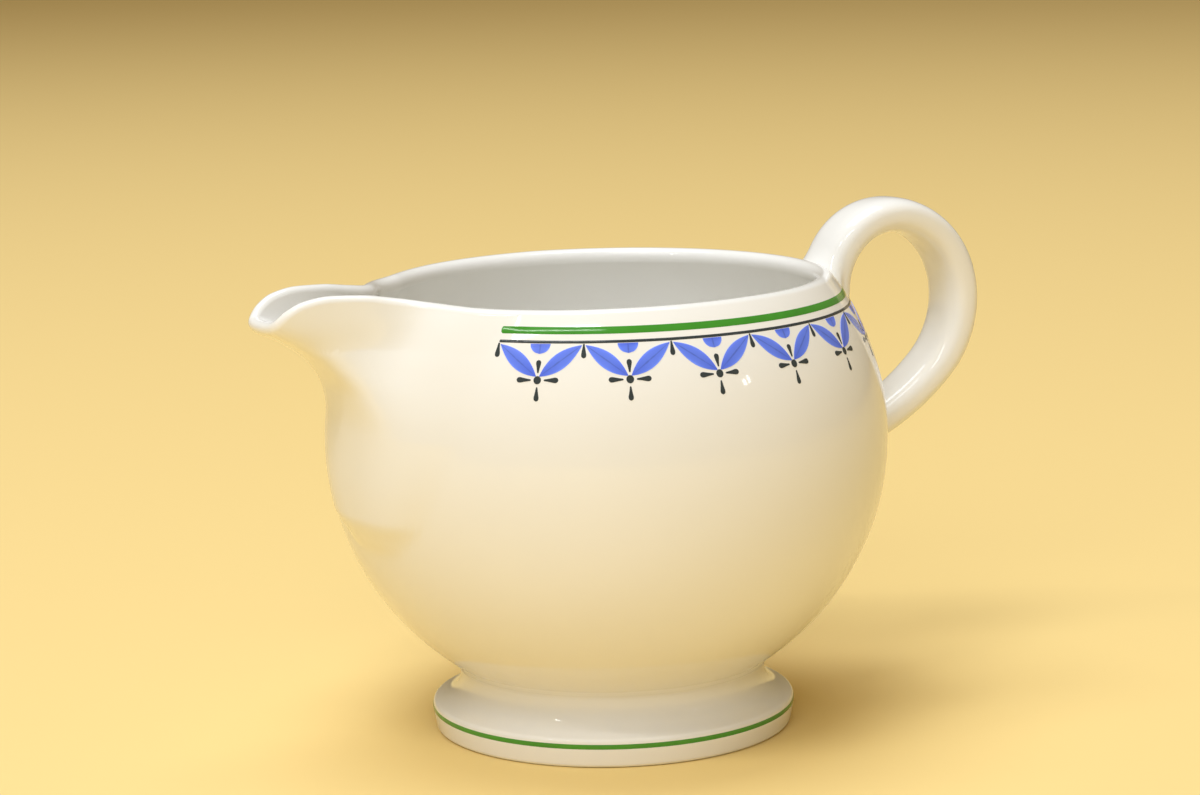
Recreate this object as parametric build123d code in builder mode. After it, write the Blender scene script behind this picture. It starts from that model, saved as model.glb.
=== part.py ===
from build123d import *
from math import cos, radians, sin, sqrt
import os

# A small porcelain cream jug: a round thrown bowl on a turned foot, with a pressed spout and a strap
# handle luted on with slip, and a painted border. Millimetres, +Z up. The origin is the centre of the
# foot's standing face on the bowl's axis, the spout points to -X and the handle to +X.

# A length past the whole jug, for shapes that only cut
REACH = 150.0

# Bowl: an ellipse turned about Z
BOWL_RADIUS = 47.5
BOWL_HALF_HEIGHT = 45.9
BOWL_CENTRE_Z = 49.5
WALL = 3.3
RIM_Z = 77.0
UNDERSIDE_Z = 4.8
FLOOR_Z = 8.2

# Foot ring
FOOT_STANDING_RADIUS = 29.9
FOOT_CORNER_MIDDLE = (30.4, 0.3)
FOOT_CORNER_TOP = (30.6, 0.9)
FOOT_WIDEST = 30.95
FOOT_WIDEST_LOW_Z = 3.2
FOOT_WIDEST_HIGH_Z = 4.2
FOOT_SHOULDER_MIDDLE = (30.65, 4.8)
FOOT_SHOULDER = (30.05, 5.1)
FOOT_HOLLOW_MIDDLE = (27.2, 6.8)
NECK_RADIUS = 26.1
NECK_Z = 9.6
FOOT_INNER_RADIUS = 26.6
RECESS_RADIUS = 23.0
FOOT_TOP_Z = 14.0

# Spout
SPOUT_CENTRE_X = 22.0
SPOUT_WALL = 2.4
SPOUT_FLOOR_RISE = 1.3
LIP_WALL_SHARE = 0.9
SECTION_STEPS = 18
SPOUT_CUT_NEAR_X = -15.0
SPOUT_CUT_HALF_WIDTH = 22.6
SPOUT_CUT_TOP_HALF_WIDTH = 25.4
SPOUT_CUT_SHOULDER_Z = 52.0
SPOUT_CUT_BOTTOM_Z = 29.5
SPOUT_CUT_TOP_Z = 90.0

# Strap handle: tangent arcs in the XZ plane, each a radius and a turn in degrees
STRAP_WIDTH = 10.8
STRAP_THICKNESS = 6.1
STRAP_EDGE_RADIUS = 2.7
HANDLE_START = (44.0, 71.3)
HANDLE_START_HEADING = 88.5
HANDLE_ROOT_RADIUS = 8.0
HANDLE_ROOT_TURN = 48.0
HANDLE_BENDS = [(12.2, 107.7), (15.7, 70.0), (16.9, 46.2), (43.0, 20.8)]
HANDLE_TAIL = 7.5

# Slip that joins the pieces
SLIP = 0.45
COLLAR = 0.9
HANDLE_SLIP_LOW_Z = 30.0
HANDLE_SLIP_BELOW_RIM = 1.2
HANDLE_SPLIT_Z = 60.0

# Painted border, on both sides between the spout and the handle
PAINT = 0.12
MOTIFS_PER_CIRCLE = 19
MOTIFS_PER_SIDE = 7
BORDER_START = 38.5
RIM_BAND_Z = 73.75
RIM_BAND_HEIGHT = 1.05
BORDER_LINE_Z = 72.1
BORDER_LINE_HEIGHT = 0.4
LEAF_LENGTH = 7.6
LEAF_HALF_WIDTH = 1.2
LEAF_SLOPE = 54.0
LEAF_GAP = 0.35
HALF_DOT_Z = 71.8
HALF_DOT_HALF_WIDTH = 1.62
HALF_DOT_DEPTH = 1.45
FLOWER_Z = 66.5
FLOWER_DOT_RADIUS = 0.6
STROKE_LENGTH = 2.1
STROKE_WIDTH = 0.8
STROKE_GAP = 0.42
DROP_GAP = 0.3
PAINT_LOW_Z = 60.0
PAINT_HIGH_Z = 73.0
FOOT_BAND_Z = 3.7
FOOT_BAND_HEIGHT = 0.8

os.makedirs("parts", exist_ok=True)
PITCH = 360 / MOTIFS_PER_CIRCLE


def bowl_form(grow, low, high):
    """The bowl's outside as a full turned solid, grown by a skin, between two heights."""
    with BuildPart() as form:
        with BuildSketch(Plane.XZ):
            with Locations((0, BOWL_CENTRE_Z)):
                Ellipse(BOWL_RADIUS + grow, BOWL_HALF_HEIGHT + grow)
            with Locations((0, low)):
                Rectangle(REACH, high - low, align=(Align.MIN, Align.MIN), mode=Mode.INTERSECT)
        revolve(axis=Axis.Z)
    return form.part


# Spout sections by height: how far the tongue reaches and its half width where it starts, then how far
# the lip reaches past the tongue and the lip's half width
SPOUT_STATIONS = [
    (29, 37.5, 17.0, 0.0, 14.0),
    (32, 42.6, 18.0, 0.0, 14.0),
    (35, 46.2, 21.0, 0.0, 14.0),
    (38, 48.1, 25.0, 0.0, 14.0),
    (42, 49.1, 28.0, 0.0, 14.0),
    (48, 49.3, 30.0, 0.0, 14.0),
    (56, 48.5, 30.5, 0.8, 13.0),
    (62, 46.9, 30.5, 3.4, 11.6),
    (67, 44.9, 30.0, 8.6, 9.8),
    (71, 42.8, 28.5, 16.0, 8.7),
    (74, 41.0, 27.0, 24.0, 8.3),
    (77, 38.9, 25.5, 30.5, 8.3),
    (81, 36.0, 23.6, 37.5, 8.3),
]
LIP_SHARPNESS = 6

# The spout's edge in side view, from past the pouring tip to the bowl's rim
EDGE_LINE = [
    (-80, 64.5),
    (-66, 72.1),
    (-63.5, 73.6),
    (-61.3, 75.3),
    (-59.5, 77.0),
    (-57, 78.3),
    (-53, 78.9),
    (-48, 78.7),
    (-43, 78.0),
    (-38, 77.4),
    (-28, 77.0),
]


def section_points(station, inset):
    """Points round one level of the spout, from one root to the other."""
    z, tongue, half_width, lip, lip_width = station
    tongue -= inset
    half_width -= inset
    lip_width -= inset * LIP_WALL_SHARE
    points = []
    for step in range(-SECTION_STEPS, SECTION_STEPS + 1):
        turn = radians(90 * step / SECTION_STEPS)
        y = half_width * sin(turn)
        x = SPOUT_CENTRE_X + (tongue - SPOUT_CENTRE_X) * cos(turn)
        x += lip / (1 + abs(y / lip_width) ** LIP_SHARPNESS)
        points.append((-x, y))
    return points


def spout_form(inset, rise):
    """The spout as a solid, drawn in by a wall and lifted, so that its inside follows its outside."""
    with BuildPart() as form:
        for station in SPOUT_STATIONS:
            with BuildSketch(Plane.XY.offset(station[0] + rise)):
                with BuildLine():
                    outline = Spline(*section_points(station, inset))
                    Line(outline @ 1, outline @ 0)
                make_face()
        loft()
    return form.part


def spout_cut(shrink):
    """The U-shaped block, seen from the spout's side, in which the bowl's wall gives way to the spout."""
    half = SPOUT_CUT_HALF_WIDTH - shrink
    top = SPOUT_CUT_TOP_HALF_WIDTH - shrink
    left = (-half, SPOUT_CUT_SHOULDER_Z)
    right = (half, SPOUT_CUT_SHOULDER_Z)
    with BuildPart() as block:
        with BuildSketch(Plane.YZ.offset(SPOUT_CUT_NEAR_X)):
            with BuildLine():
                Polyline(left, (-top, SPOUT_CUT_TOP_Z), (top, SPOUT_CUT_TOP_Z), right)
                ThreePointArc(right, (0, SPOUT_CUT_BOTTOM_Z + shrink), left)
            make_face()
        extrude(amount=-REACH)
    return block.part


def above_edge():
    """Everything over the spout's edge, which rises from the rim and then dips to the pouring tip."""
    with BuildPart() as block:
        with BuildSketch(Plane.XZ):
            with BuildLine():
                edge = Spline(*EDGE_LINE)
                Polyline(edge @ 1, (0, RIM_Z), (0, REACH), (EDGE_LINE[0][0], REACH), edge @ 0)
            make_face()
        extrude(amount=REACH, both=True)
    return block.part


bowl_solid = bowl_form(0, UNDERSIDE_Z, RIM_Z + 10)
bowl_with_slip = bowl_form(SLIP, 0, RIM_Z + 10)
cavity = bowl_form(-WALL, FLOOR_Z, RIM_Z + 12)
cut_outer = spout_cut(0)
cut_inner = spout_cut(SLIP)

# Bowl: a turned wall with a full-round rim, open where the spout joins
rim_centre_z = RIM_Z - WALL / 2
rim_centre_radius = (BOWL_RADIUS - WALL / 2) * sqrt(
    1 - ((rim_centre_z - BOWL_CENTRE_Z) / (BOWL_HALF_HEIGHT - WALL / 2)) ** 2
)
with BuildPart() as bowl:
    add(bowl_form(0, UNDERSIDE_Z, rim_centre_z))
    with BuildSketch(Plane.XZ):
        with Locations((rim_centre_radius, rim_centre_z)):
            Circle(WALL / 2)
    revolve(axis=Axis.Z)
    add(bowl_form(-WALL, FLOOR_Z, rim_centre_z), mode=Mode.SUBTRACT)
    add(cut_outer, mode=Mode.SUBTRACT)
bowl.part.label = "bowl"

# Spout: the tongue and lip, hollow, with the piece of bowl wall that it was pressed with
with BuildPart() as spout_block:
    add(spout_form(0, 0))
    add(bowl_form(0, UNDERSIDE_Z, RIM_Z + 2))
    add(above_edge(), mode=Mode.SUBTRACT)
    add(cavity, mode=Mode.SUBTRACT)
    add(spout_form(SPOUT_WALL, SPOUT_FLOOR_RISE), mode=Mode.SUBTRACT)

with BuildPart() as spout:
    add(spout_block.part)
    add(cut_inner, mode=Mode.INTERSECT)
spout.part.label = "spout"

with BuildPart() as spout_slip_seam:
    add(spout_block.part)
    add(cut_outer, mode=Mode.INTERSECT)
    add(cut_inner, mode=Mode.SUBTRACT)
spout_slip_seam.part.label = "spout_slip_seam"


def foot_form():
    """The foot ring's full turned shape, running up into the bowl."""
    with BuildPart() as form:
        with BuildSketch(Plane.XZ):
            with BuildLine():
                Line((FOOT_INNER_RADIUS, 0), (FOOT_STANDING_RADIUS, 0))
                ThreePointArc((FOOT_STANDING_RADIUS, 0), FOOT_CORNER_MIDDLE, FOOT_CORNER_TOP)
                Line(FOOT_CORNER_TOP, (FOOT_WIDEST, FOOT_WIDEST_LOW_Z))
                Line((FOOT_WIDEST, FOOT_WIDEST_LOW_Z), (FOOT_WIDEST, FOOT_WIDEST_HIGH_Z))
                ThreePointArc((FOOT_WIDEST, FOOT_WIDEST_HIGH_Z), FOOT_SHOULDER_MIDDLE, FOOT_SHOULDER)
                ThreePointArc(FOOT_SHOULDER, FOOT_HOLLOW_MIDDLE, (NECK_RADIUS, NECK_Z))
                Line((NECK_RADIUS, NECK_Z), (NECK_RADIUS, FOOT_TOP_Z))
                Line((NECK_RADIUS, FOOT_TOP_Z), (RECESS_RADIUS, FOOT_TOP_Z))
                Line((RECESS_RADIUS, FOOT_TOP_Z), (FOOT_INNER_RADIUS, 0))
            make_face()
        revolve(axis=Axis.Z)
    return form.part


with BuildPart() as foot:
    add(foot_form())
    add(bowl_with_slip, mode=Mode.SUBTRACT)
foot.part.label = "foot"

with BuildPart() as foot_slip_seam:
    add(foot_form())
    add(bowl_with_slip, mode=Mode.INTERSECT)
    add(bowl_solid, mode=Mode.SUBTRACT)
foot_slip_seam.part.label = "foot_slip_seam"


def handle_form(grow):
    """The strap swept along its arcs, its two ends run into the bowl."""
    heading = radians(HANDLE_START_HEADING)
    root_heading = heading - radians(HANDLE_ROOT_TURN)
    centre_x = HANDLE_START[0] - HANDLE_ROOT_RADIUS * sin(heading)
    centre_z = HANDLE_START[1] + HANDLE_ROOT_RADIUS * cos(heading)
    root_x = centre_x + HANDLE_ROOT_RADIUS * sin(root_heading)
    root_z = centre_z - HANDLE_ROOT_RADIUS * cos(root_heading)
    along_root = (cos(root_heading), sin(root_heading))
    with BuildPart() as form:
        with BuildLine(Plane.XZ) as path:
            bend = JernArc((root_x, root_z), along_root, HANDLE_ROOT_RADIUS, HANDLE_ROOT_TURN)
            for radius, angle in HANDLE_BENDS:
                bend = JernArc(bend @ 1, bend % 1, radius, -angle)
            Line(bend @ 1, bend @ 1 + (bend % 1) * HANDLE_TAIL)
        start = path.line
        with BuildSketch(Plane(origin=start @ 0, x_dir=(0, 1, 0), z_dir=start % 0)):
            RectangleRounded(STRAP_WIDTH + 2 * grow, STRAP_THICKNESS + 2 * grow, STRAP_EDGE_RADIUS + grow)
        sweep(path=path.line)
    return form.part


with BuildPart() as handle:
    add(handle_form(0))
    add(bowl_with_slip, mode=Mode.SUBTRACT)
handle.part.label = "handle"

with BuildPart() as slip_skin:
    add(bowl_form(SLIP, HANDLE_SLIP_LOW_Z, RIM_Z - HANDLE_SLIP_BELOW_RIM))
    add(bowl_solid, mode=Mode.SUBTRACT)

with BuildPart() as handle_slip:
    add(handle_form(COLLAR))
    add(slip_skin.part, mode=Mode.INTERSECT)

with BuildPart() as handle_upper_slip_seam:
    add(handle_slip.part)
    with Locations((0, 0, HANDLE_SPLIT_Z)):
        Box(REACH, REACH, REACH, align=(Align.MIN, Align.CENTER, Align.MIN), mode=Mode.INTERSECT)
handle_upper_slip_seam.part.label = "handle_upper_slip_seam"

with BuildPart() as handle_lower_slip_seam:
    add(handle_slip.part)
    with Locations((0, 0, HANDLE_SPLIT_Z)):
        Box(REACH, REACH, REACH, align=(Align.MIN, Align.CENTER, Align.MAX), mode=Mode.INTERSECT)
handle_lower_slip_seam.part.label = "handle_lower_slip_seam"


def painted_ring(height_z, height, side):
    """A band of paint round one side of the bowl, side 1 for +Y and -1 for -Y."""
    span = MOTIFS_PER_SIDE * PITCH
    with BuildPart() as ring:
        with BuildSketch(Plane.XZ):
            with Locations((0, BOWL_CENTRE_Z)):
                Ellipse(BOWL_RADIUS + PAINT, BOWL_HALF_HEIGHT + PAINT)
                Ellipse(BOWL_RADIUS, BOWL_HALF_HEIGHT, mode=Mode.SUBTRACT)
            with Locations((0, height_z)):
                Rectangle(REACH, height, align=(Align.MIN, Align.CENTER), mode=Mode.INTERSECT)
        revolve(axis=Axis.Z, revolution_arc=span)
    start = 180 - side * BORDER_START
    if side > 0:
        start -= span
    return Rot(0, 0, start) * ring.part


with BuildPart() as paint_skin:
    add(bowl_form(PAINT, PAINT_LOW_Z, PAINT_HIGH_Z))
    add(bowl_form(0, PAINT_LOW_Z - 1, PAINT_HIGH_Z + 1), mode=Mode.SUBTRACT)


def motif_plane(angle, side):
    """The upright plane that faces one place on the bowl, angle measured from the spout."""
    turn = radians(180 - side * angle)
    return Plane(origin=(0, 0, 0), x_dir=(-sin(turn), cos(turn), 0), z_dir=(cos(turn), sin(turn), 0))


def painted(shape, angles, side):
    """One flat shape set out round the bowl and pushed through the paint skin."""
    with BuildPart() as shapes:
        for angle in angles:
            with BuildSketch(motif_plane(angle, side)):
                add(shape.sketch)
            extrude(amount=REACH)
        add(paint_skin.part, mode=Mode.INTERSECT)
    return shapes.part


# Two pointed leaves that rise from the flower in a V
with BuildSketch() as leaves:
    for lean in (-1, 1):
        slope = radians(90 - lean * LEAF_SLOPE)
        along = Vector(cos(slope), sin(slope))
        across = Vector(-along.Y, along.X) * LEAF_HALF_WIDTH
        lower = Vector(0, FLOWER_Z + LEAF_GAP) + along * LEAF_GAP
        upper = lower + along * LEAF_LENGTH
        middle = (lower + upper) / 2
        with BuildLine():
            ThreePointArc(lower, middle + across, upper)
            ThreePointArc(upper, middle - across, lower)
        make_face()

# A half round that hangs from the line between two leaves
with BuildSketch() as half_dot:
    with Locations((0, HALF_DOT_Z)):
        Ellipse(HALF_DOT_HALF_WIDTH, HALF_DOT_DEPTH)
        Rectangle(REACH, REACH, align=(Align.CENTER, Align.MIN), mode=Mode.SUBTRACT)

# A dot with four short strokes round it
with BuildSketch() as flower:
    with Locations((0, FLOWER_Z)):
        Circle(FLOWER_DOT_RADIUS)
        with PolarLocations(FLOWER_DOT_RADIUS + STROKE_GAP + STROKE_LENGTH / 2, 4):
            SlotOverall(STROKE_LENGTH, STROKE_WIDTH)

# A short stroke that hangs from the line between two motifs
drop_top_z = BORDER_LINE_Z - BORDER_LINE_HEIGHT / 2 - DROP_GAP
with BuildSketch() as drop:
    with Locations((0, drop_top_z - STROKE_LENGTH / 2)):
        SlotOverall(STROKE_LENGTH, STROKE_WIDTH, rotation=90)

painted_parts = {}
for side, place in ((-1, "front"), (1, "back")):
    centres = [BORDER_START + (number + 0.5) * PITCH for number in range(MOTIFS_PER_SIDE)]
    ends = [BORDER_START + number * PITCH for number in range(MOTIFS_PER_SIDE)]
    painted_parts["rim_band_" + place] = painted_ring(RIM_BAND_Z, RIM_BAND_HEIGHT, side)
    painted_parts["border_line_" + place] = painted_ring(BORDER_LINE_Z, BORDER_LINE_HEIGHT, side)
    painted_parts["leaves_" + place] = painted(leaves, centres, side)
    painted_parts["half_dots_" + place] = painted(half_dot, centres, side)
    painted_parts["flowers_" + place] = painted(flower, centres, side)
    painted_parts["drops_" + place] = painted(drop, ends, side)

with BuildPart() as foot_band:
    with BuildSketch(Plane.XZ):
        with Locations((FOOT_WIDEST + PAINT / 2, FOOT_BAND_Z)):
            Rectangle(PAINT, FOOT_BAND_HEIGHT)
    revolve(axis=Axis.Z)
foot_band.part.label = "foot_band"

export_step(bowl.part, "parts/bowl.step")
export_step(spout.part, "parts/spout.step")
export_step(spout_slip_seam.part, "parts/spout_slip_seam.step")
export_step(foot.part, "parts/foot.step")
export_step(foot_slip_seam.part, "parts/foot_slip_seam.step")
export_step(handle.part, "parts/handle.step")
export_step(handle_upper_slip_seam.part, "parts/handle_upper_slip_seam.step")
export_step(handle_lower_slip_seam.part, "parts/handle_lower_slip_seam.step")
export_step(foot_band.part, "parts/foot_band.step")
for name, part in painted_parts.items():
    part.label = name
    export_step(part, "parts/" + name + ".step")
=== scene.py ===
"""A small porcelain cream jug: glazed bowl and pulled spout, turned foot, strap handle, painted border.

Laid out as an add-on and run as a script. Lengths are worked out in millimetres and written in metres.
The foot's standing face is at the origin, the spout points to -X and the handle to +X.
"""

import math

import bpy
import numpy as np
from mathutils import Matrix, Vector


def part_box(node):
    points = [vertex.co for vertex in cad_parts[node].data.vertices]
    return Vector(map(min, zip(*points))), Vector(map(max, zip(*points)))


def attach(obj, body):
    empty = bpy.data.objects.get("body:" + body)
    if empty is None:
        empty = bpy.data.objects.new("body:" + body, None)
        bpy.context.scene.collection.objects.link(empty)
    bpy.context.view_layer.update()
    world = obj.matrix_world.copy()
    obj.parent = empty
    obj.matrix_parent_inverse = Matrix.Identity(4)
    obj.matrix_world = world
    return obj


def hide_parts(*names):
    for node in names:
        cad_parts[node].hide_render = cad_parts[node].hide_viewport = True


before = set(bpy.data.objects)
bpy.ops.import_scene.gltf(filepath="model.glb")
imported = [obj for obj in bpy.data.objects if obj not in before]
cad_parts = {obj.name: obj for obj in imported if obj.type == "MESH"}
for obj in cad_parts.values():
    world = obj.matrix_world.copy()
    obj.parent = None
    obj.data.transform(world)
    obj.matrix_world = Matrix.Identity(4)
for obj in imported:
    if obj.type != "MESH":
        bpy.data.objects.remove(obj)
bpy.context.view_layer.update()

bl_info = {
    "name": "Porcelain Cream Jug",
    "version": (1, 0, 0),
    "blender": (4, 5, 0),
    "location": "View3D > Sidebar > Cream Jug",
    "description": "Builds a glazed porcelain cream jug with a painted border",
    "category": "Object",
}

MM = 0.001
BODY = "root"
BOTH_SIDES = ((-1, "front"), (1, "back"))
TINY = 1e-6


# ---------------------------------------------------------------- colours and sizes


def linear(hex_colour):
    """An sRGB hex colour as linear red, green, blue and alpha."""
    values = [int(hex_colour[place : place + 2], 16) / 255 for place in (1, 3, 5)]
    return (*[v / 12.92 if v <= 0.04045 else ((v + 0.055) / 1.055) ** 2.4 for v in values], 1.0)


def cad_size(node, axis, high=True):
    """One face of a CAD node's box, in metres."""
    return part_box(node)[1 if high else 0][axis]


def length(name, description, default):
    """A length that the sidebar shows with its unit."""
    return bpy.props.FloatProperty(
        name=name, description=description, default=default, unit="LENGTH", precision=5
    )


def turn_angle(name, description, degrees):
    """An angle that the sidebar shows in degrees."""
    return bpy.props.FloatProperty(
        name=name, description=description, default=math.radians(degrees), subtype="ANGLE"
    )


def colour(name, description, hex_colour):
    """A colour that the sidebar shows as a swatch."""
    return bpy.props.FloatVectorProperty(
        name=name,
        description=description,
        default=linear(hex_colour)[:3],
        subtype="COLOR",
        size=3,
        min=0,
        max=1,
    )


class JugSizes(bpy.types.PropertyGroup):
    """The sizes that a potter would set."""

    bowl_radius: length("Bowl Radius", "Widest radius of the bowl", cad_size("bowl", 1))
    rim_height: length("Rim Height", "Top of the rim above the table", cad_size("bowl", 2))
    wall: length("Bowl Wall", "Thickness of the bowl's wall", 0.0033)
    lip_wall: length("Lip Wall", "Thickness of the spout where it has been pulled thin", 0.0022)
    underside: length("Underside Height", "Height of the bowl's underside", cad_size("bowl", 2, False))
    foot_radius: length("Foot Radius", "Widest radius of the foot", cad_size("foot", 0))
    strap_width: length("Strap Width", "Width of the handle's strap", 0.0108)
    strap_thickness: length("Strap Thickness", "Thickness of the handle's strap", 0.0061)
    paint: length("Paint Height", "How far the enamel stands over the glaze", 0.00004)
    motif_count: bpy.props.IntProperty(
        name="Motifs", description="Motifs on each side of the bowl", default=7, min=1
    )
    motif_pitch: turn_angle("Motif Pitch", "Turn from one motif to the next", 360 / 19)
    border_start: turn_angle("Border Start", "Turn from the spout to the border", 38.5)


class JugColours(bpy.types.PropertyGroup):
    """The colours of the glaze and of the enamels."""

    porcelain: colour("Porcelain", "Ivory-white body under a clear glaze", "#EFEDE6")
    biscuit: colour("Biscuit", "Bare fired clay where the foot stands", "#E9E2D2")
    green: colour("Green Enamel", "Lines on the rim and the foot", "#3F8F2C")
    blue: colour("Blue Enamel", "Wash of the leaves and half rounds", "#6480EE")
    slate: colour("Slate Enamel", "Outline, dots and strokes", "#353D40")
    floor: colour("Floor", "Pale studio floor", "#EFD28C")


# ---------------------------------------------------------------- node and mesh helpers


def add_node(tree, kind, inputs=None, **settings):
    """Adds a node with its settings, and fills or links its inputs."""
    made = tree.nodes.new(kind)
    for name, value in settings.items():
        setattr(made, name, value)
    for name, value in (inputs or {}).items():
        if isinstance(value, bpy.types.NodeSocket):
            tree.links.new(value, made.inputs[name])
        else:
            made.inputs[name].default_value = value
    return made


def new_material(name):
    """An empty node material with its output."""
    material = bpy.data.materials.new(name)
    material.use_nodes = True
    material.node_tree.nodes.clear()
    return material, material.node_tree


def finish_material(tree, shader):
    """Links the shader to the material's output."""
    add_node(tree, "ShaderNodeOutputMaterial", {"Surface": shader.outputs[0]})


def new_object(name, mesh):
    """An object at the origin that holds the mesh."""
    made = bpy.data.objects.new(name, mesh)
    bpy.context.scene.collection.objects.link(made)
    return made


def mesh_from(name, points, faces, material):
    """A smooth mesh from points in millimetres."""
    mesh = bpy.data.meshes.new(name)
    mesh.from_pydata((np.asarray(points) * MM).tolist(), [], [list(map(int, face)) for face in faces])
    mesh.materials.append(material)
    mesh.polygons.foreach_set("use_smooth", [True] * len(mesh.polygons))
    mesh.update()
    return mesh


def loft_faces(rows, columns, close=True):
    """Quads between rows of points, each row closed on itself or open."""
    last = columns if close else columns - 1
    return [
        (
            row * columns + column,
            row * columns + (column + 1) % columns,
            (row + 1) * columns + (column + 1) % columns,
            (row + 1) * columns + column,
        )
        for row in range(rows - 1)
        for column in range(last)
    ]


def turned(profile, columns):
    """Points and faces of a closed profile of (radius, height) turned about Z."""
    profile = np.asarray(profile)
    angle = np.linspace(0, 2 * math.pi, columns, endpoint=False)
    points = np.stack(
        [
            profile[:, 0, None] * np.cos(angle),
            profile[:, 0, None] * np.sin(angle),
            np.repeat(profile[:, 1, None], columns, 1),
        ],
        -1,
    )
    faces = loft_faces(len(profile) + 1, columns)
    total = len(profile) * columns
    return points.reshape(-1, 3), [[index % total for index in face] for face in faces]


def outward(points, faces):
    """The faces, turned over if the solid they close is inside out."""
    points = np.asarray(points)
    volume = 0.0
    for face in faces:
        for second, third in zip(face[1:-1], face[2:]):
            volume += np.dot(points[face[0]], np.cross(points[second], points[third]))
    return faces if volume > 0 else [list(face)[::-1] for face in faces]


def arc(centre, radius, start, end, steps):
    """Points (radius, height) on an arc, angles in degrees."""
    angle = np.radians(np.linspace(start, end, steps))
    return [(centre[0] + radius * math.cos(a), centre[1] + radius * math.sin(a)) for a in angle]


def hand_over(piece, slot, *nodes):
    """Ties a finished piece to the frame."""
    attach(piece, BODY)
    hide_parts(*nodes)


# ---------------------------------------------------------------- form of the vessel


BOWL_HALF_HEIGHT = 45.9
BOWL_CENTRE_Z = 49.5

# Spout by height: reach and half width of the tongue, then how far the lip reaches past it and how wide
SPOUT_STATIONS = np.array(
    [
        (29, 37.5, 14.0, 0.0, 14.0),
        (32, 42.6, 15.0, 0.0, 14.0),
        (35, 44.6, 16.0, 0.0, 14.0),
        (38, 46.9, 18.0, 0.0, 14.0),
        (42, 48.9, 21.4, 0.0, 14.0),
        (48, 49.3, 24.2, 0.0, 14.0),
        (56, 48.3, 25.9, 0.8, 13.0),
        (62, 46.7, 26.2, 3.4, 11.6),
        (67, 44.7, 26.2, 8.6, 9.8),
        (71, 42.7, 26.0, 16.0, 8.8),
        (74, 41.0, 25.6, 24.0, 8.6),
        (77, 38.9, 25.0, 30.5, 8.6),
        (81, 36.0, 24.0, 37.5, 8.6),
    ]
)
TONGUE_SQUARENESS = 2.5
SPOUT_CENTRE_X = 22.0
LIP_SHARPNESS = 6
LIP_NOSE = 0.16
PAST_ROOT_FALL = 5

# The tongue stands a little to one side of the lip, up to the heights between which it comes back
TONGUE_TURN = math.radians(4)
TONGUE_TURN_FADES = (56, 70)

# How far round from the spout it can reach, and the radii between which it is looked for
SPOUT_REACH_ANGLE = math.radians(75)
SPOUT_NEAREST, SPOUT_FURTHEST = 5.0, 90.0
RADIUS_HALVINGS = 36

# How broadly the spout blends into the bowl, by height
BLEND_HEIGHTS = (30, 45, 60, 76)
BLEND_WIDTHS = (0.7, 1.2, 2.6, 3.2)

# The wall thins from where the lip stands this far off the bowl, over this run
PULL_START, PULL_RUN = 1, 9

# Heights between which the rounded edge is looked for
EDGE_LOWEST, EDGE_HIGHEST = 66.0, 80.0
EDGE_HALVINGS = 30
SMALL_TURN = 1e-3
SMALL_RISE = 0.02

# Side view of the edge, from past the pouring tip back to the level rim
EDGE_LINE = np.array(
    [
        *((-80, 64.5), (-66, 72.1), (-63.5, 73.6), (-61.3, 75.3), (-59.5, 77.0), (-57, 78.3), (-53, 78.9)),
        *((-48, 78.7), (-43, 78.0), (-38, 77.2), (-33, 76.7), (-28, 76.55), (-14, 76.75), (6, 77.0)),
    ]
)


def smooth_curve(knots, values, where):
    """Smooth interpolation through knots that never overshoots them."""
    step = np.diff(knots)
    rise = np.diff(values) / step
    slope = np.zeros(len(knots))
    same = rise[1:] * rise[:-1] > 0
    weight_one = 2 * step[1:] + step[:-1]
    weight_two = step[1:] + 2 * step[:-1]
    with np.errstate(divide="ignore", invalid="ignore"):
        mean = (weight_one + weight_two) / (weight_one / rise[:-1] + weight_two / rise[1:])
    slope[1:-1] = np.where(same, mean, 0)
    slope[0], slope[-1] = rise[0], rise[-1]
    where = np.clip(where, knots[0], knots[-1])
    part = np.clip(np.searchsorted(knots, where, side="right") - 1, 0, len(step) - 1)
    t = (where - knots[part]) / step[part]
    return (
        values[part] * (1 + 2 * t) * (1 - t) ** 2
        + slope[part] * step[part] * t * (1 - t) ** 2
        + values[part + 1] * t * t * (3 - 2 * t)
        + slope[part + 1] * step[part] * t * t * (t - 1)
    )


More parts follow.
